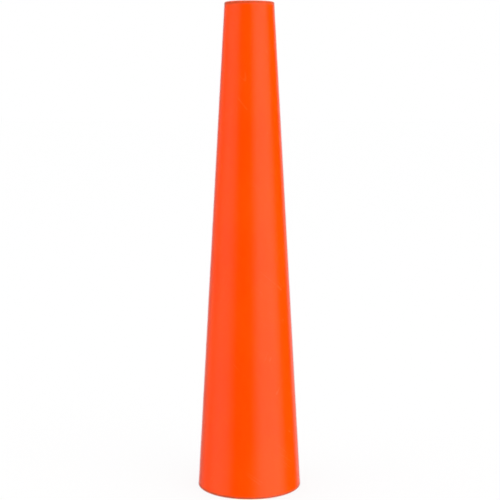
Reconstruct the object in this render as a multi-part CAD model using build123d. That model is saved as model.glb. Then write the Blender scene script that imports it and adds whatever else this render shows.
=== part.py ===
from build123d import *
import os
from math import atan, cos, radians, sin

# Slip-on torch traffic cone: a slender hollow taper that is pushed over the head of a hand torch.
# Millimetres, +Z up. The origin is the centre of the mouth, on the plane of the mouth's rim, so the
# cone stands on Z = 0 and its axis is +Z. The front is -Y.

# ---------------------------------------------------------------- cone shell
HEIGHT = 205.0  # rim of the mouth to the tip
MOUTH_OD = 44.0
TIP_OD = 20.6
WALL = 1.6  # shell wall around the adapter sleeve, square to the taper
WALL_UPPER = 2.0  # shell wall above the sleeve: the step between them is the sleeve's stop
STEP_Z = 31.0  # height of the stop step

MOUTH_EDGE_R = 0.35  # rounding of the mouth's outer edge
MOUTH_LEAD_W = 0.55  # inner lead-in chamfer at the mouth, radial
MOUTH_LEAD_H = 1.0  # and along the axis
TIP_EDGE_R = 0.55  # rounding of the tip's outer edge

CAP_SEAT_R = 9.0  # counterbore in the tip that takes the cap's disc
CAP_SEAT_DEPTH = 2.2
CAP_LAND_R = 8.0  # ring the cap snaps through
CAP_LAND_H = 2.0
CAP_SEAM = 0.25  # chamfer on both sides of the seam between shell and cap

# ---------------------------------------------------------------- tip cap
CAP_GAP = 0.05  # radial gap between the cap and the shell
CAP_RECESS = 0.25  # cap's edge sits this far below the shell's rim
CAP_CROWN = 0.25  # and its face rises this much to the middle
CAP_SKIRT_WALL = 1.2
CAP_SKIRT_DEPTH = 5.0  # skirt below the disc
CAP_SKIRT_INSET = 0.35  # the skirt's outside draws in this much at its lower end
CAP_CUP_RISE = 0.3  # the hollow reaches this far above the disc's underside
CAP_BEAD_R = 8.4  # snap bead under the land
CAP_BEAD_EDGE_H = 0.675  # straight outer edge of the bead
CAP_BEAD_GAP = 0.08  # bead to land, along the axis
CAP_SLOTS = 4
CAP_SLOT_START = 45  # angle of the first slot, degrees
CAP_SLOT_W = 1.4
CAP_SLOT_INNER_R = 2.5  # the slot cutters start inside the skirt
CAP_SLOT_OVERRUN = 1.5  # and end this far outside the disc's radius
CAP_SLOT_DROP = 0.8  # top of the slots below the disc's underside
CAP_GATE_R = 1.5  # recess round the moulding gate in the middle of the cap
CAP_GATE_DEPTH = 0.35
CAP_STUB_R = 0.45  # clipped-off gate stub on the recess floor
CAP_STUB_H = 0.2

# ---------------------------------------------------------------- adapter sleeve
TORCH_HEAD_R = 17.0  # the sleeve's bore: a 34 mm torch head
SLEEVE_GAP = 0.06  # gap between the sleeve and the shell, square to the wall
SLEEVE_H = 30.6
SLEEVE_LIP_R = 15.0  # stop lip that the torch's bezel meets, and its lens looks through
SLEEVE_LIP_H = 2.1
SLEEVE_LEAD = 1.2  # lead-in chamfer of the bore
SLEEVE_EDGE_R = 0.4
SLEEVE_FLUTES = 12  # flutes that let the rubber stretch and air escape
SLEEVE_FLUTE_R = 0.9
SLEEVE_FLUTE_TOP = 25.0  # centre of each flute's round end
SLEEVE_FLUTE_OVERRUN = 2.0  # the flute cutters start this far below the sleeve
SLEEVE_GROOVES = (6.5, 13.5, 20.5)  # heights of the outer relief grooves
SLEEVE_GROOVE_R = 0.7

# ---------------------------------------------------------------- shared geometry
TAPER = (MOUTH_OD - TIP_OD) / 2 / HEIGHT  # radius lost per mm of height
TAPER_COS = cos(atan(TAPER))  # turns a thickness square to the wall into a radial one
LAND_TOP = HEIGHT - CAP_SEAT_DEPTH
LAND_BOTTOM = LAND_TOP - CAP_LAND_H


def outer_r(z):
    return MOUTH_OD / 2 - TAPER * z


def inner_r(z, wall):
    return outer_r(z) - wall / TAPER_COS


def sleeve_r(z):
    """Outer radius of the sleeve, which follows the inside of the shell."""
    return inner_r(z, WALL) - SLEEVE_GAP / TAPER_COS


def turned(points, roundings):
    """A solid of revolution about Z from (radius, height) points. roundings: (point index, radius)."""
    with BuildPart() as body:
        with BuildSketch(Plane.XZ) as sketch:
            with BuildLine():
                Polyline(*points, close=True)
            make_face()
            for index, rounding in roundings:
                x, y = points[index]
                corner = min(sketch.vertices(), key=lambda v: abs(v.X - x) + abs(v.Y - y))
                fillet(corner, radius=rounding)
        revolve(axis=Axis.Z)
    return body.part


def make_cone_shell():
    """One thin wall, open at both ends, with the sleeve's stop step and the cap's land inside."""
    points = [
        (inner_r(0, WALL) + MOUTH_LEAD_W, 0),
        (outer_r(0), 0),
        (outer_r(HEIGHT), HEIGHT),
        (CAP_SEAT_R + CAP_SEAM, HEIGHT),
        (CAP_SEAT_R, HEIGHT - CAP_SEAM),
        (CAP_SEAT_R, LAND_TOP),
        (CAP_LAND_R, LAND_TOP),
        (CAP_LAND_R, LAND_BOTTOM),
        (inner_r(LAND_BOTTOM, WALL_UPPER), LAND_BOTTOM),
        (inner_r(STEP_Z, WALL_UPPER), STEP_Z),
        (inner_r(STEP_Z, WALL), STEP_Z),
        (inner_r(MOUTH_LEAD_H, WALL), MOUTH_LEAD_H),
    ]
    return turned(points, [(1, MOUTH_EDGE_R), (2, TIP_EDGE_R)])


def make_tip_cap():
    """A disc with a shallow crown and a split skirt, whose bead hooks under the shell's land."""
    disc_r = CAP_SEAT_R - CAP_GAP
    face_r = disc_r - CAP_SEAM
    skirt_r = CAP_LAND_R - CAP_GAP
    cup_r = skirt_r - CAP_SKIRT_WALL
    edge_z = HEIGHT - CAP_RECESS
    crown_z = edge_z + CAP_CROWN
    cup_top = LAND_TOP + CAP_CUP_RISE
    bead_top = LAND_BOTTOM - CAP_BEAD_GAP
    skirt_bottom = LAND_TOP - CAP_SKIRT_DEPTH
    slot_top = LAND_TOP - CAP_SLOT_DROP
    slot_outer_r = disc_r + CAP_SLOT_OVERRUN
    gate_floor = crown_z - CAP_GATE_DEPTH

    with BuildPart() as cap:
        with BuildSketch(Plane.XZ):
            with BuildLine():
                Polyline(
                    (0, crown_z),
                    (0, cup_top),
                    (cup_r, cup_top),
                    (cup_r, skirt_bottom),
                    (skirt_r - CAP_SKIRT_INSET, skirt_bottom),
                    (CAP_BEAD_R, bead_top - CAP_BEAD_EDGE_H),
                    (CAP_BEAD_R, bead_top),
                    (skirt_r, bead_top),
                    (skirt_r, LAND_TOP),
                    (disc_r, LAND_TOP),
                    (disc_r, edge_z - CAP_SEAM),
                    (face_r, edge_z),
                )
                # a shallow crown has three quarters of its rise at half its radius
                ThreePointArc(
                    (face_r, edge_z), (face_r / 2, edge_z + CAP_CROWN * 0.75), (0, crown_z)
                )
            make_face()
        revolve(axis=Axis.Z)

        # slots that split the skirt into spring fingers
        slot_centre = ((CAP_SLOT_INNER_R + slot_outer_r) / 2, 0, (skirt_bottom + slot_top) / 2)
        for i in range(CAP_SLOTS):
            turn = Location((0, 0, 0), (0, 0, CAP_SLOT_START + 360 / CAP_SLOTS * i))
            with Locations(turn * Location(slot_centre)):
                Box(
                    slot_outer_r - CAP_SLOT_INNER_R,
                    CAP_SLOT_W,
                    slot_top - skirt_bottom,
                    mode=Mode.SUBTRACT,
                )

        # gate recess and its stub
        with Locations((0, 0, crown_z - CAP_GATE_DEPTH / 2)):
            Cylinder(CAP_GATE_R, CAP_GATE_DEPTH, mode=Mode.SUBTRACT)
        with Locations((0, 0, gate_floor + CAP_STUB_H / 2)):
            Cylinder(CAP_STUB_R, CAP_STUB_H)
    return cap.part


def make_adapter_sleeve():
    """Soft sleeve, tapered outside and straight inside. A torch head pushed in from below meets
    the lip, and drives the tapers of sleeve and shell together."""
    lip_z = SLEEVE_H - SLEEVE_LIP_H
    points = [
        (TORCH_HEAD_R + SLEEVE_LEAD, 0),
        (sleeve_r(0), 0),
        (sleeve_r(SLEEVE_H), SLEEVE_H),
        (SLEEVE_LIP_R, SLEEVE_H),
        (SLEEVE_LIP_R, lip_z),
        (TORCH_HEAD_R, lip_z),
        (TORCH_HEAD_R, SLEEVE_LEAD),
    ]
    body = turned(points, [(index, SLEEVE_EDGE_R) for index in (1, 2, 3)])
    with BuildPart() as sleeve:
        add(body)
        for z in SLEEVE_GROOVES:
            with Locations((0, 0, z)):
                Torus(sleeve_r(z), SLEEVE_GROOVE_R, mode=Mode.SUBTRACT)
        # round-ended flutes, centred on the wall of the bore
        for i in range(SLEEVE_FLUTES):
            angle = radians(360 / SLEEVE_FLUTES * (i + 0.5))
            x, y = TORCH_HEAD_R * cos(angle), TORCH_HEAD_R * sin(angle)
            with Locations((x, y, (SLEEVE_FLUTE_TOP - SLEEVE_FLUTE_OVERRUN) / 2)):
                Cylinder(
                    SLEEVE_FLUTE_R, SLEEVE_FLUTE_TOP + SLEEVE_FLUTE_OVERRUN, mode=Mode.SUBTRACT
                )
            with Locations((x, y, SLEEVE_FLUTE_TOP)):
                Sphere(SLEEVE_FLUTE_R, mode=Mode.SUBTRACT)
    return sleeve.part


# ---------------------------------------------------------------- export
os.makedirs("parts", exist_ok=True)
for name, piece in {
    "cone_shell": make_cone_shell(),
    "tip_cap": make_tip_cap(),
    "adapter_sleeve": make_adapter_sleeve(),
}.items():
    piece.label = name
    export_step(piece, f"parts/{name}.step")
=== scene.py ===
"""Slip-on torch traffic cone: an orange shell, a cap in its tip and a black sleeve in its mouth.

Sizes are millimetres and the meshes are metres, in the frame's own axes: +Z runs up the cone's axis
from the mouth to the tip, the mouth's rim stands on Z = 0, and the front is -Y.
"""

import math

import bpy
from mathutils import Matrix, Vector


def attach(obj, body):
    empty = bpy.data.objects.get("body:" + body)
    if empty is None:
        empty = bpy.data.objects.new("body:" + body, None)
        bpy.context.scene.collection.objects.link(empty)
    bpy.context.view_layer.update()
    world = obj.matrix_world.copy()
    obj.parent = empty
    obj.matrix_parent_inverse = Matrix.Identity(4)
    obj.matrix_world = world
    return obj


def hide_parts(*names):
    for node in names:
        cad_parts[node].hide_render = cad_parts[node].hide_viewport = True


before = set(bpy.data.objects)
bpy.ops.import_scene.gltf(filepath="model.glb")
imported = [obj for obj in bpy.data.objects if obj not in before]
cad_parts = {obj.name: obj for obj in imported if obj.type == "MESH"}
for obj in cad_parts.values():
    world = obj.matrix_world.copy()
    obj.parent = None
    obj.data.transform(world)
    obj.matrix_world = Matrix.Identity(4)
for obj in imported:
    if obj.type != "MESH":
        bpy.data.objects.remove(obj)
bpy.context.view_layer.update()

MM = 0.001

# ------------------------------------------------------------------ shared sizes
HEIGHT = 205.0
MOUTH_R = 22.0
TIP_R = 10.3
WALL = 1.6  # wall thickness below STEP_Z
WALL_UPPER = 2.0  # and above it
STEP_Z = 31.0
SEAT_R = 9.0  # the recess in the tip that holds the cap's disc
SEAT_DEPTH = 2.2
LAND_R = 8.0  # the narrow hole below the seat
LAND_H = 2.0
SEAM = 0.25  # bevel on both sides of the seam round the cap
GATE_R = 1.5  # the round recess in the middle of the cap
LAND_TOP = HEIGHT - SEAT_DEPTH
LAND_BOTTOM = LAND_TOP - LAND_H

TAPER = (MOUTH_R - TIP_R) / HEIGHT
TAPER_COS = math.cos(math.atan(TAPER))


def outer_r(z):
    return MOUTH_R - TAPER * z


def inner_r(z, wall):
    return outer_r(z) - wall / TAPER_COS


# ------------------------------------------------------------------ mesh tools
class Skin:
    """Gathers a closed mesh face by face, in millimetres. Points that coincide become one vertex."""

    def __init__(self):
        self.points = []
        self.index = {}
        self.faces = []
        self.normals = []

    def vertex(self, point):
        key = tuple(round(c, 4) for c in point)
        if key not in self.index:
            self.index[key] = len(self.points)
            self.points.append(Vector(point) * MM)
        return self.index[key]

    def face(self, corners):
        """corners: (position, normal) pairs, anticlockwise seen from outside."""
        ids, normals = [], []
        for point, normal in corners:
            i = self.vertex(point)
            if i not in ids:
                ids.append(i)
                normals.append(normal)
        if len(ids) > 2:
            self.faces.append(ids)
            self.normals.append(normals)

    def build(self, name, exact_normals):
        """exact_normals: shade with the normals given to face(). Otherwise edges over 35 degrees
        are sharp and the flat faces rule the normals of the small roundings beside them."""
        mesh = bpy.data.meshes.new(name)
        mesh.from_pydata(self.points, [], self.faces)
        mesh.update()
        mesh.shade_smooth()
        obj = bpy.data.objects.new(name, mesh)
        bpy.context.scene.collection.objects.link(obj)
        if exact_normals:
            mesh.normals_split_custom_set(
                [Vector(normal).normalized() for normals in self.normals for normal in normals]
            )
        else:
            mesh.set_sharp_from_angle(angle=math.radians(35))
            weighted = obj.modifiers.new("weighted", "WEIGHTED_NORMAL")
            weighted.keep_sharp = True
        return obj


def round_corner(before, here, after, radius, steps):
    """The arc that replaces one corner, or the corner itself where it is sharp or straight."""
    way_in, way_out = (here - before).normalized(), (after - here).normalized()
    normal_in = Vector((way_in.y, -way_in.x))
    normal_out = Vector((way_out.y, -way_out.x))
    turn = math.atan2(way_in.x * way_out.y - way_in.y * way_out.x, way_in.dot(way_out))
    if radius <= 0 or abs(turn) < 1e-4:
        middle = (normal_in + normal_out).normalized()
        return [(here.x, here.y, middle.x, middle.y)]
    start = here - way_in * (radius * math.tan(abs(turn) / 2))
    reach = radius if turn > 0 else -radius
    centre = start - normal_in * reach
    arc = []
    for s in range(steps + 1):
        cos, sin = math.cos(turn * s / steps), math.sin(turn * s / steps)
        x = normal_in.x * cos - normal_in.y * sin
        y = normal_in.x * sin + normal_in.y * cos
        arc.append((centre.x + x * reach, centre.y + y * reach, x, y))
    return arc


def subdivide(points, max_step, closed):
    """Cuts every stretch of an outline into parts no longer than max_step."""
    fine = []
    for i, start in enumerate(points):
        fine.append(start)
        if not closed and i == len(points) - 1:
            break
        end = points[(i + 1) % len(points)]
        parts = max(1, math.ceil(math.hypot(end[0] - start[0], end[1] - start[1]) / max_step))
        for s in range(1, parts):
            r, z, normal_r, normal_z = (a + (b - a) * s / parts for a, b in zip(start, end))
            normal = Vector((normal_r, normal_z)).normalized()
            fine.append((r, z, normal.x, normal.y))
    return fine


def rounded(corners, steps, max_step, closed=True):
    """An outline from (r, z, corner radius) points, with the solid on the left of the way it runs
    when r points right and z up. Gives (r, z, normal r, normal z); steps: parts of each arc."""
    places = [Vector(corner[:2]) for corner in corners]
    last = len(corners) - 1
    out = []
    for i, here in enumerate(places):
        if not closed and i in (0, last):
            way = places[1] - here if i == 0 else here - places[-2]
            way.normalize()
            out.append((here.x, here.y, way.y, -way.x))
        else:
            after = places[(i + 1) % len(places)]
            out += round_corner(places[i - 1], here, after, corners[i][2], steps)
    return subdivide(out, max_step, closed)


def spun(point, angle):
    """An outline point turned about the axis, as (position, normal)."""
    r, z, normal_r, normal_z = point
    cos, sin = math.cos(angle), math.sin(angle)
    return (r * cos, r * sin, z), (normal_r * cos, normal_r * sin, normal_z)


# ------------------------------------------------------------------ cone shell
SHELL_SEGMENTS = 288
MOUTH_BEVEL_W = 0.55  # bevel inside the mouth
MOUTH_BEVEL_H = 1.0


def make_shell():
    """The hollow cone, with a stepped seat for the cap in its tip."""
    outline = rounded(
        [  # (r, z, corner radius): up the outside, then down the inside
            (inner_r(0, WALL) + MOUTH_BEVEL_W, 0.0, 0.12),
            (outer_r(0), 0.0, 0.35),
            (outer_r(HEIGHT), HEIGHT, 0.55),
            (SEAT_R + SEAM, HEIGHT, 0.08),
            (SEAT_R, HEIGHT - SEAM, 0.06),
            (SEAT_R, LAND_TOP, 0.08),
            (LAND_R, LAND_TOP, 0.15),
            (LAND_R, LAND_BOTTOM, 0.15),
            (inner_r(LAND_BOTTOM, WALL_UPPER), LAND_BOTTOM, 0.12),
            (inner_r(STEP_Z, WALL_UPPER), STEP_Z, 0.12),
            (inner_r(STEP_Z, WALL), STEP_Z, 0.1),
            (inner_r(MOUTH_BEVEL_H, WALL), MOUTH_BEVEL_H, 0.2),
        ],
        steps=6,
        max_step=2.5,
    )
    skin = Skin()
    for j in range(SHELL_SEGMENTS):
        here, there = (
            2 * math.pi * (k % SHELL_SEGMENTS) / SHELL_SEGMENTS for k in (j, j + 1)
        )
        for i, low in enumerate(outline):
            high = outline[(i + 1) % len(outline)]
            skin.face([spun(low, here), spun(low, there), spun(high, there), spun(high, here)])
    return skin.build("shell", exact_normals=True)


# ------------------------------------------------------------------ tip cap
CAP_GAP = 0.05  # play round the cap
CROWN = 0.25  # rise of the domed top
CROWN_STEPS = 12
CROWN_INNER_R = 1.7  # last point of the dome before the gate recess
GATE_DEPTH = 0.35
STUB_R = 0.45  # the stub standing in the gate recess
STUB_H = 0.2
SLOTS = 4
SLOT_W = 1.4
SLOT_PITCH = 2 * math.pi / SLOTS
SLOT_COLUMNS = 6
FINGER_COLUMNS = 40
BEAD_R = 8.4  # the bead that snaps below the land
BEAD_H = 1.5
BEAD_Z = LAND_BOTTOM - 0.08  # its upper edge
SKIRT_R = LAND_R - CAP_GAP
SKIRT_IN_R = SKIRT_R - 1.2
SKIRT_BOTTOM = LAND_TOP - 5.0
SLOT_ROOF = LAND_TOP - 0.8
CUP_TOP = LAND_TOP + 0.3  # underside of the disc, inside the skirt


def cap_chain():
    """The cap's outline from the axis below the disc, round the skirt, to the axis on top."""
    disc_r = SEAT_R - CAP_GAP
    edge_z = HEIGHT - CROWN
    rim = disc_r - SEAM
    floor_z = HEIGHT - GATE_DEPTH
    ball = (rim * rim + CROWN * CROWN) / (2 * CROWN)

    def crown_z(r):
        return HEIGHT - ball + math.sqrt(ball * ball - r * r)

    crown = [rim - (rim - CROWN_INNER_R) * k / CROWN_STEPS for k in range(1, CROWN_STEPS + 1)]
    corners = [  # (r, z, corner radius)
        (0.0, CUP_TOP, 0),
        (SKIRT_IN_R, CUP_TOP, 0.3),
        (SKIRT_IN_R, SLOT_ROOF, 0),
        (SKIRT_IN_R, SKIRT_BOTTOM, 0.12),
        (SKIRT_R - 0.35, SKIRT_BOTTOM, 0.15),
        (BEAD_R, BEAD_Z - BEAD_H * 0.45, 0.2),
        (BEAD_R, BEAD_Z, 0.12),
        (SKIRT_R, BEAD_Z, 0.04),
        (SKIRT_R, SLOT_ROOF, 0),
        (SKIRT_R, LAND_TOP, 0.08),
        (disc_r, LAND_TOP, 0.1),
        (disc_r, edge_z - SEAM, 0.06),
        (rim, edge_z, 0.08),
        *((r, crown_z(r), 0) for r in crown),
        (GATE_R, crown_z(GATE_R), 0.1),
        (GATE_R, floor_z, 0.1),
        (STUB_R, floor_z, 0.05),
        (STUB_R - 0.04, floor_z + STUB_H, 0.06),
        (0.0, floor_z + STUB_H - 0.03, 0),
    ]
    return rounded(corners, steps=4, max_step=0.8, closed=False)


def make_cap():
    """A crowned disc with a skirt split into spring fingers. Its columns of vertices follow the
    slots' parallel walls, so each wall of a slot is flat."""
    chain = cap_chain()
    roof_rows = [i for i, point in enumerate(chain) if abs(point[1] - SLOT_ROOF) < 1e-6]
    first, last = roof_rows[0], roof_rows[-1]

    # (kind, angle of the slot's middle, place: -1..1 across a slot or 0..1 along the next finger)
    columns = []
    for s in range(SLOTS):
        middle = math.pi / 4 + s * SLOT_PITCH
        columns += [("slot", middle, -1 + 2 * k / SLOT_COLUMNS) for k in range(SLOT_COLUMNS)]
        columns += [("finger", middle, k / FINGER_COLUMNS) for k in range(FINGER_COLUMNS)]

    def at(column, i):
        kind, middle, place = column
        half = math.asin(SLOT_W / 2 / min(max(chain[i][0], SKIRT_IN_R), BEAD_R))
        if kind == "slot":
            return spun(chain[i], middle + place * half)
        return spun(chain[i], middle + half + place * (SLOT_PITCH - 2 * half))

    skin = Skin()
    for j, here in enumerate(columns):
        there = columns[(j + 1) % len(columns)]
        is_slot = here[0] == "slot"
        for i in range(len(chain) - 1):
            if not (is_slot and first <= i < last):
                skin.face([at(here, i), at(there, i), at(there, i + 1), at(here, i + 1)])
        if is_slot:  # its roof
            roof = ((here, first), (there, first), (there, last), (here, last))
            skin.face([(at(column, i)[0], (0, 0, -1)) for column, i in roof])

    # the flat walls on both sides of each slot
    for column in columns:
        kind, middle, place = column
        if (kind, place) not in (("finger", 0), ("slot", -1)):
            continue
        rows = range(first, last + 1)
        normal = Vector((math.sin(middle), -math.cos(middle), 0))  # towards lower angles
        if kind == "slot":
            rows = reversed(rows)
            normal = -normal
        skin.face([(at(column, i)[0], normal) for i in rows])
    return skin.build("cap", exact_normals=True)


# ------------------------------------------------------------------ adapter sleeve
TORCH_R = 17.0  # the bore
SLEEVE_GAP = 0.06  # play between sleeve and shell
SLEEVE_H = 30.6
LIP_R = 15.0
LIP_H = 2.1
LEAD = 1.2  # 45 degree bevel at the bottom of the bore
LEAD_ROUND = 0.15  # rounding of its lower edge
LEAD_R = TORCH_R + LEAD
FLUTES = 12
FLUTE_R = 0.9
FLUTE_TOP = 25.0  # where the straight flute gives way to its ball end
FLUTE_STEPS = 10  # across a flute, and across the plain bore between two
BALL_STEPS = 6
BORE_STEPS = 11
GROOVES = (6.5, 13.5, 20.5)  # heights of the grooves' middles
GROOVE_R = 0.7
GROOVE_STEPS = 12


def sleeve_r(z):
    return inner_r(z, WALL) - SLEEVE_GAP / TAPER_COS


def sleeve_chain():
    """(r, z) from the bottom of the bore, up the grooved outside, over the lip into the bore."""
    lip_z = SLEEVE_H - LIP_H
    corners = [(LEAD_R, 0.0, 0), (sleeve_r(0), 0.0, 0.4)]  # (r, z, corner radius)
    for middle in GROOVES:
        corners.append((sleeve_r(middle - GROOVE_R), middle - GROOVE_R, 0.1))
        for k in range(1, GROOVE_STEPS):
            a = math.pi * k / GROOVE_STEPS
            r = sleeve_r(middle) - GROOVE_R * math.sin(a)
            corners.append((r, middle - GROOVE_R * math.cos(a), 0))
        corners.append((sleeve_r(middle + GROOVE_R), middle + GROOVE_R, 0.1))
    corners += [
        (sleeve_r(SLEEVE_H), SLEEVE_H, 0.4),
        (LIP_R, SLEEVE_H, 0.4),
        (LIP_R, lip_z, 0.15),
        (TORCH_R, lip_z, 0.2),
        (TORCH_R, FLUTE_TOP + FLUTE_R + 0.4, 0),
    ]
    chain = rounded(corners, steps=4, max_step=1.6, closed=False)

    # an arc stands in for the first corner, which the open outline leaves sharp
    foot = LEAD_R + LEAD_ROUND * math.tan(math.pi / 8)
    arc = []
    for s in range(4):
        a = math.pi * 1.25 + math.pi / 4 * s / 4
        arc.append((foot + LEAD_ROUND * math.cos(a), LEAD_ROUND + LEAD_ROUND * math.sin(a)))
    return arc + [(foot, 0.0)] + [point[:2] for point in chain[1:]]


def bore_rows(place_at):
    """One column of the bore, top to bottom, as (r, z, angle). place_at gives (r, angle) at a
    height above FLUTE_TOP."""
    rows = []
    for s in range(BALL_STEPS, 0, -1):
        rise = FLUTE_R * math.sin(math.pi / 2 * s / BALL_STEPS)
        r, angle = place_at(rise)
        rows.append((r, FLUTE_TOP + rise, angle))
    r, angle = place_at(0)
    low = LEAD_R - r  # on the bevel
    for s in range(BORE_STEPS, -1, -1):
        rows.append((r, low + (FLUTE_TOP - low) * s / BORE_STEPS, angle))
    return rows


def flute_column(flute, beta):
    """(angle, bore rows) of a column in a flute. beta: its angle round the flute's own axis."""

    def place_at(rise):
        ball = math.sqrt(max(0.0, FLUTE_R**2 - rise * rise))
        x, y = TORCH_R + ball * math.cos(beta), ball * math.sin(beta)
        return math.hypot(x, y), flute + math.atan2(y, x)

    return place_at(0)[1], bore_rows(place_at)


def make_sleeve():
    """The soft sleeve: tapered and grooved outside, with a fluted straight bore and a stop lip."""
    chain = sleeve_chain()
    # where a flute's circle meets the bore, about the flute's axis and about the sleeve's
    limit = math.pi / 2 + math.asin(FLUTE_R / 2 / TORCH_R)
    half = 2 * math.asin(FLUTE_R / 2 / TORCH_R)
    pitch = 2 * math.pi / FLUTES
    columns = []
    for f in range(FLUTES):
        flute = pitch * (f + 0.5)
        for s in range(FLUTE_STEPS + 1):
            columns.append(flute_column(flute, -limit + 2 * limit * s / FLUTE_STEPS))
        for s in range(1, FLUTE_STEPS):
            angle = flute + half + (pitch - 2 * half) * s / FLUTE_STEPS
            columns.append((angle, bore_rows(lambda rise: (TORCH_R, angle))))

    grid = []
    for angle, bore in columns:
        rows = [(r, z, angle) for r, z in chain] + bore
        grid.append([(r * math.cos(a), r * math.sin(a), z) for r, z, a in rows])
    skin = Skin()
    for j, here in enumerate(grid):
        there = grid[(j + 1) % len(grid)]
        for i in range(len(here)):
            k = (i + 1) % len(here)
            skin.face([(point, None) for point in (here[i], there[i], there[k], here[k])])
    return skin.build("sleeve", exact_normals=False)


# ------------------------------------------------------------------ material tools
class Nodes:
    """Writes a node tree. An input is a value, a socket, or a node for its first output."""

    def __init__(self, tree):
        self.tree = tree
        tree.nodes.clear()

    def add(self, kind, inputs=None, **settings):
        node = self.tree.nodes.new("ShaderNode" + kind)
        for key, value in settings.items():
            setattr(node, key, value)
        for key, value in (inputs or {}).items():
            if isinstance(value, bpy.types.Node):
                value = value.outputs[0]
            if isinstance(value, bpy.types.NodeSocket):
                self.tree.links.new(value, node.inputs[key])
            else:
                node.inputs[key].default_value = value
        return node

    def math(self, operation, a, b=0.0):
        return self.add("Math", {0: a, 1: b}, operation=operation)

    def plus(self, a, b):
        return self.math("ADD", a, b)

    def minus(self, a, b):
        return self.math("SUBTRACT", a, b)

    def times(self, a, b):
        return self.math("MULTIPLY", a, b)

    def distance(self, a, b):
        return self.math("ABSOLUTE", self.minus(a, b))

    def azimuth(self, x, y):
        """Radians from the front (-Y) towards +X."""
        return self.math("ARCTAN2", x, self.times(y, -1.0))

    def ramp(self, value, over, to=(0.0, 1.0)):
        """Smoothly from to[0] to to[1] while value goes from over[0] to over[1]."""
        return self.add(
            "MapRange",
            {"Value": value, "From Min": over[0], "From Max": over[1], "To Min": to[0], "To Max": to[1]},
            interpolation_type="SMOOTHSTEP",
        )

    def mix(self, factor, a, b):
        return self.add("Mix", {0: factor, 6: a, 7: b}, data_type="RGBA").outputs[2]

    def noise(self, vector, scale, detail=2.0, rough=0.5):
        inputs = {"Vector": vector, "Scale": scale, "Detail": detail, "Roughness": rough}
        return self.add("TexNoise", inputs).outputs["Fac"]

    def scaled(self, vector, factors):
        return self.add("VectorMath", {0: vector, 1: factors}, operation="MULTIPLY")

    def places(self):
        """The position in mm, and the same pulled out along the axis, so that a noise on it makes
        marks that run with the cone."""
        coords = self.add("TexCoord").outputs["Object"]
        mm = self.scaled(coords, (1000.0, 1000.0, 1000.0))
        return mm, self.scaled(mm, (1.0, 1.0, 0.035))

    def bump(self, height, strength, distance, under=None, **settings):
        """under: the bump that this one lies over."""
        inputs = {"Strength": strength, "Distance": distance, "Height": height}
        if under:
            inputs["Normal"] = under
        return self.add("Bump", inputs, **settings)

    def output(self, shader, kind="Material"):
        self.add("Output" + kind, {"Surface": shader})


def material(name):
    mat = bpy.data.materials.new(name)
    mat.use_nodes = True
    return mat, Nodes(mat.node_tree)


# ------------------------------------------------------------------ orange plastic
ORANGE = (1.0, 0.0622, 0.0003, 1)
ORANGE_DEEP = (0.99, 0.0572, 0.0002, 1)
ORANGE_PALE = (1.0, 0.0682, 0.0007, 1)
FLECK = (0.62, 0.03, 0.001, 1)
SCRATCH = (1.0, 0.22, 0.06, 1)
# painted shade: the deeper orange the colour turns to towards the limb
LIMB_SHADE = (0.55, 0.035, 0.0008, 1)
# grime in the seam and the gate's recess, and painted shade on the cone's outer rims
GRIME_AND_RIM_SHADE = (0.34, 0.072, 0.028, 1)
UNROLL_R = 16.0  # radius at which the wall is unrolled for the scratches


def scratches(net, mm, turn, scale, width):
    """Hairline marks, straight on the unrolled wall: the thin contour where a noise stretched along
    them crosses its middle, broken up. turn: their angle to the axis, in radians."""
    x, y, z = net.add("SeparateXYZ", {0: mm}).outputs
    round_wall = net.times(net.azimuth(x, y), UNROLL_R)
    cos, sin = math.cos(turn), math.sin(turn)
    across = net.minus(net.times(round_wall, cos), net.times(z, sin))
    along = net.plus(net.times(round_wall, sin), net.times(z, cos))
    along = net.times(along, 0.03)  # the stretch
    drawn = net.add("CombineXYZ", {0: across, 1: along, 2: 7.0 * turn})
    field = net.noise(drawn, scale, detail=0.0)
    line = net.ramp(net.distance(field, 0.5), over=(0.0, width), to=(1.0, 0.0))
    return net.times(line, net.ramp(net.noise(mm, scale=0.11), over=(0.54, 0.66)))


def grime_and_rim_shade_mask(net, mm, rims):
    """Grime where a wipe doesn't reach: the seam round the cap and the recess of its gate. With rims,
    also painted shade: a dark hairline in the rounding of each of the cone's two outer rims."""
    height = net.add("SeparateXYZ", {0: mm}).outputs[2]
    level = net.scaled(mm, (1.0, 1.0, 0.0))
    radius = net.add("VectorMath", {0: level}, operation="LENGTH").outputs["Value"]

    seam = net.ramp(net.distance(radius, SEAT_R), over=(0.1, 0.45), to=(0.7, 0.0))
    pit = net.ramp(radius, over=(GATE_R - 0.3, GATE_R + 0.15), to=(0.35, 0.0))
    near_top = net.ramp(height, over=(HEIGHT - 1.6, HEIGHT - 1.2))
    grime_and_shade = net.times(net.math("MAXIMUM", seam, pit), near_top)
    if rims:
        # painted shade: a dark hairline in the rounding of the mouth's rim and of the tip's rim
        low = net.ramp(height, over=(0.5, 1.5), to=(0.85, 0.0))
        high = net.ramp(height, over=(HEIGHT - 2.0, HEIGHT - 0.5), to=(0.0, 0.78))
        high = net.times(high, net.ramp(radius, over=(TIP_R - 1.0, TIP_R - 0.45)))
        grime_and_shade = net.math("MAXIMUM", grime_and_shade, net.math("MAXIMUM", low, high))
    scuffs = net.noise(mm, scale=0.6, detail=3.0, rough=0.6)
    return net.times(grime_and_shade, net.ramp(scuffs, over=(0.30, 0.60), to=(0.65, 1.0)))


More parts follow.
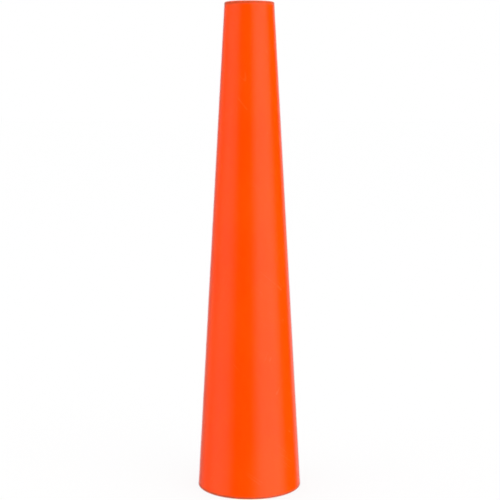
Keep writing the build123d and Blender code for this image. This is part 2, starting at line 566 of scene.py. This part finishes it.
def orange_plastic(name, rims, matt=0.0):
    """Self-coloured, slightly translucent moulded polypropylene with a fine spark-eroded texture.
    rims: the piece has the cone's two outer rims, with painted shade in their roundings. matt: how much
    coarser its mould was eroded."""
    mat, net = material(name)
    mm, pulled = net.places()

    cloud = net.noise(mm, scale=0.028, detail=3.0)  # wall and pigment variation, about 35 mm across
    flow = net.noise(pulled, scale=0.42, detail=3.0, rough=0.6)  # flow marks up the wall
    # specks of undispersed pigment
    fleck = net.ramp(net.noise(mm, scale=1.9, detail=1.0), over=(0.73, 0.80))
    marks = net.math(
        "MAXIMUM",
        scratches(net, mm, turn=0.35, scale=0.35, width=0.006),
        scratches(net, mm, turn=-0.8, scale=0.27, width=0.005),
    )

    colour = net.mix(net.ramp(cloud, over=(0.36, 0.64)), ORANGE_DEEP, ORANGE_PALE)
    colour = net.mix(0.4, colour, ORANGE)
    colour = net.mix(net.ramp(flow, over=(0.45, 0.75), to=(0.0, 0.35)), colour, ORANGE_PALE)
    colour = net.mix(net.times(fleck, 0.14), colour, FLECK)
    colour = net.mix(net.times(marks, 0.08), colour, SCRATCH)

    patches = net.noise(mm, scale=0.16, detail=3.0)
    rough = net.plus(0.20 + 0.24 * matt, net.ramp(flow, over=(0.3, 0.7), to=(-0.025, 0.03)))
    rough = net.plus(rough, net.ramp(patches, over=(0.35, 0.65), to=(-0.02, 0.03)))
    rough = net.plus(rough, net.times(marks, 0.12))

    # Towards its limb the colour is deepened by a view-dependent term: painted shade, standing in for
    # the light the wall scatters there. The gloss also drops towards the limb, below what a smooth
    # surface would have there.
    facing = net.add("LayerWeight", {"Blend": 0.5}).outputs["Facing"]
    limb_shade = net.ramp(facing, over=(0.52, 0.90))
    gloss = net.times(0.14 - 0.05 * matt, net.minus(1.0, net.times(limb_shade, 0.9)))
    colour = net.mix(limb_shade, colour, LIMB_SHADE)

    # grime in the seam and the gate's recess; on the outer rims, painted shade
    grime_and_shade = grime_and_rim_shade_mask(net, mm, rims)
    colour = net.mix(grime_and_shade, colour, GRIME_AND_RIM_SHADE)
    rough = net.plus(rough, net.times(grime_and_shade, 0.24))
    gloss = net.times(gloss, net.minus(1.0, net.times(grime_and_shade, 0.7)))

    # fine texture of the mould, about 0.2 mm, over a very slight orange peel, about 2.5 mm
    grain = net.noise(mm, scale=4.5, rough=0.6)
    peel = net.noise(mm, scale=0.4)
    bump = net.bump(grain, strength=0.45, distance=0.018 * MM * (1 + matt))
    bump = net.bump(peel, strength=0.6, distance=0.03 * MM, under=bump)
    bump = net.bump(marks, strength=0.4, distance=0.02 * MM, under=bump, invert=True)
    shader = net.add(
        "BsdfPrincipled",
        {
            "Base Color": colour,
            "Roughness": rough,
            "IOR": 1.49,
            "Specular IOR Level": gloss,
            "Normal": bump,
            "Subsurface Weight": 0.22,
            "Subsurface Radius": (1.0, 0.22, 0.06),
            "Subsurface Scale": 1.6 * MM,
        },
    )
    net.output(shader)
    return mat


# ------------------------------------------------------------------ black rubber
BLACK_DEEP = (0.019, 0.019, 0.021, 1)
BLACK_PALE = (0.029, 0.029, 0.031, 1)
DUST = (0.105, 0.098, 0.09, 1)
DRAG = (0.085, 0.083, 0.082, 1)
RUBBED = (0.075, 0.075, 0.077, 1)


def sleeve_rubber(name):
    """Black thermoplastic rubber: matt, fine grained, a little dust in its texture, rubbed grey and
    smoother on the corners that slide in the shell."""
    mat, net = material(name)
    mm, pulled = net.places()

    cloud = net.noise(mm, scale=0.09, detail=3.0)
    dust = net.ramp(net.noise(mm, scale=0.8, detail=4.0, rough=0.65), over=(0.50, 0.74))
    pointiness = net.add("NewGeometry").outputs["Pointiness"]
    corners = net.ramp(pointiness, over=(0.52, 0.60))
    # marks from sliding in and out
    drag = net.ramp(net.noise(pulled, scale=0.9, detail=3.0, rough=0.6), over=(0.55, 0.72))

    colour = net.mix(net.ramp(cloud, over=(0.35, 0.65)), BLACK_DEEP, BLACK_PALE)
    colour = net.mix(net.times(dust, 0.30), colour, DUST)
    colour = net.mix(net.times(drag, 0.22), colour, DRAG)
    colour = net.mix(net.times(corners, 0.35), colour, RUBBED)

    rough = net.plus(0.60, net.ramp(cloud, over=(0.3, 0.7), to=(-0.05, 0.06)))
    rough = net.plus(rough, net.times(dust, 0.12))
    rough = net.minus(rough, net.times(corners, 0.12))

    grain = net.noise(mm, scale=3.2, detail=3.0, rough=0.65)
    bump = net.bump(grain, strength=0.6, distance=0.04 * MM)
    bump = net.bump(drag, strength=0.3, distance=0.04 * MM, under=bump)
    shader = net.add(
        "BsdfPrincipled",
        {
            "Base Color": colour,
            "Roughness": rough,
            "IOR": 1.5,
            "Normal": bump,
            "Sheen Weight": 0.12,
            "Sheen Roughness": 0.5,
            "Sheen Tint": (0.7, 0.7, 0.72, 1),
        },
    )
    net.output(shader)
    return mat


# ------------------------------------------------------------------ pieces on their bodies
shell, cap, sleeve = make_shell(), make_cap(), make_sleeve()
for piece, node, body, slot, mat in (
    (shell, "cone_shell", "cone", "orange_plastic", orange_plastic("orange_shell", rims=True)),
    (cap, "tip_cap", "cone", "orange_plastic", orange_plastic("orange_cap", rims=False, matt=1.0)),
    (sleeve, "adapter_sleeve", "sleeve", "sleeve_rubber", sleeve_rubber("black_rubber")),
):
    piece.data.materials.append(mat)
    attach(piece, body)
    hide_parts(node)

# ------------------------------------------------------------------ stage: floor, light and camera
WHITE = (1, 1, 1, 1)
FLOOR_HALF = 8.0  # metres
FLOOR_PAINT = (0.075, 0.075, 0.075, 1)
FLOOR_GLOW = 0.868

# Soft boxes round the horizon, with azimuths in degrees, 0 at the front (-Y) and 90 on the right
# (+X): (middle, half its width, half the width of its soft edge, radiance).
SOFT_BOXES = [
    (49.8, 32.5, 16.0, 2.80),
    (-69.5, 24.0, 15.0, 1.78),
    (171.0, 33.0, 8.0, 1.05),
    (-136.0, 43.0, 3.5, 0.515),
]
CEILING = 2.12  # radiance from above
BOUNCE = 0.81  # and from below
POLES = (0.45, 0.75)  # sine of the elevation over which the horizon fades into them


def make_floor():
    """A large pale floor. Only the camera sees it, so that the wall of the cone mirrors the studio
    and not the floor; from below it is clear."""
    half = FLOOR_HALF
    mesh = bpy.data.meshes.new("floor")
    corners = [(-half, -half, 0), (half, -half, 0), (half, half, 0), (-half, half, 0)]
    mesh.from_pydata(corners, [], [(0, 1, 2, 3)])
    floor = bpy.data.objects.new("floor", mesh)
    bpy.context.scene.collection.objects.link(floor)
    mat, net = material("pale_floor")
    paint = net.add("BsdfDiffuse", {"Color": FLOOR_PAINT})
    glow = net.add("Emission", {"Color": WHITE, "Strength": FLOOR_GLOW})
    lit = net.add("AddShader", {0: paint, 1: glow})
    under = net.add("NewGeometry").outputs["Backfacing"]
    clear = net.add("BsdfTransparent")
    net.output(net.add("MixShader", {0: under, 1: lit, 2: clear}))
    mesh.materials.append(mat)
    for ray in ("diffuse", "glossy", "transmission", "volume_scatter", "shadow"):
        setattr(floor, "visible_" + ray, False)
    return floor


def make_world():
    """The studio: the soft boxes, a soft ceiling and a soft bounce. The camera sees plain white."""
    world = bpy.data.worlds.new("studio")
    bpy.context.scene.world = world
    world.use_nodes = True
    net = Nodes(world.node_tree)
    way = net.add("TexCoord").outputs["Generated"]
    x, y, z = net.add("SeparateXYZ", {0: way}).outputs
    azimuth = net.math("DEGREES", net.azimuth(x, y))
    horizon = 0.0
    for middle, half_width, half_edge, radiance in SOFT_BOXES:
        off = net.math("FLOORED_MODULO", net.plus(azimuth, 180.0 - middle), 360.0)
        edge = (half_width - half_edge, half_width + half_edge)
        box = net.ramp(net.distance(off, 180.0), over=edge, to=(radiance, 0.0))
        horizon = net.plus(box, horizon)
    above = net.ramp(z, over=POLES)
    below = net.ramp(net.times(z, -1.0), over=POLES)
    level = net.times(horizon, net.minus(net.minus(1.0, above), below))
    level = net.plus(level, net.times(above, CEILING))
    level = net.plus(level, net.times(below, BOUNCE))
    soft = net.add("Background", {"Color": WHITE, "Strength": level})
    sweep = net.add("Background", {"Color": WHITE, "Strength": 1.0})
    camera_ray = net.add("LightPath").outputs["Is Camera Ray"]
    net.output(net.add("MixShader", {0: camera_ray, 1: soft, 2: sweep}), kind="World")


def area_light(name, azimuth, elevation, distance, size, power):
    """A square soft box that faces the middle of the cone. Angles in degrees, lengths in metres."""
    a, e = math.radians(azimuth), math.radians(elevation)
    aim = Vector((0, 0, HEIGHT * MM / 2))
    back = Vector((math.sin(a) * math.cos(e), -math.cos(a) * math.cos(e), math.sin(e)))
    data = bpy.data.lights.new(name, "AREA")
    data.shape = "RECTANGLE"
    data.size = data.size_y = size
    data.energy = power
    lamp = bpy.data.objects.new(name, data)
    lamp.location = aim + back * distance
    lamp.rotation_mode = "QUATERNION"
    lamp.rotation_quaternion = (-back).to_track_quat("-Z", "Y")
    lamp.visible_camera = False
    bpy.context.scene.collection.objects.link(lamp)


def make_camera():
    """In front of the cone, looking slightly down on it."""
    data = bpy.data.cameras.new("camera")
    data.sensor_width = 36.0
    data.lens = 87.084
    data.shift_x = 0.00136
    data.clip_start = 0.01
    data.clip_end = 60.0
    camera = bpy.data.objects.new("camera", data)
    camera.location = (0.0, -507.9695 * MM, 166.091 * MM)
    camera.rotation_euler = (math.radians(90 - 7.204), 0, 0)
    bpy.context.scene.collection.objects.link(camera)
    bpy.context.scene.camera = camera


make_floor()
make_world()
area_light("top_fill", azimuth=20, elevation=80, distance=1.2, size=0.9, power=1.0)
make_camera()

bpy.context.scene.cycles.filter_width = 1.85  # slightly soft edges
view = bpy.context.scene.view_settings
view.view_transform = "Standard"
view.look = "None"
view.exposure = 0.0
view.gamma = 1.0
